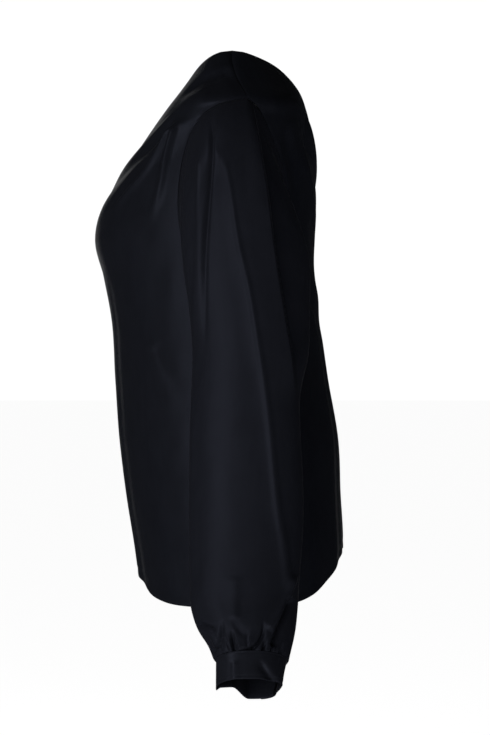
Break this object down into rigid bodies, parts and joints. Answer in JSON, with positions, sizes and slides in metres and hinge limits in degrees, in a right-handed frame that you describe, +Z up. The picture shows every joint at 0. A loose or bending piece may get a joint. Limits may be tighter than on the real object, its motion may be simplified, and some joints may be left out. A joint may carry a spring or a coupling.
{
  "type": "one-shoulder blouse",
  "caption": "Hollow one-shoulder blouse in black satin, with a diagonal neckline and one long bishop sleeve gathered into a narrow buttoned cuff.",
  "frame": {"origin": "under the middle of the left shoulder seam, where the wearer's shoulder carries the blouse", "axes": "+X to the wearer's left (the sleeve side), -Y to the front, +Z up"},
  "size_m": [0.4841, 0.2719, 0.6749],
  "materials": {
    "front_satin": "satin",
    "back_satin": "satin",
    "sleeve_satin": "satin",
    "cuff_satin": "satin",
    "button_black": "satin"
  },
  "bodies": {
    "root": {"front": "front_satin", "back": "back_satin", "sleeve": "sleeve_satin", "cuff": "cuff_satin", "cuff_button": "button_black"}
  },
  "joints": []
}
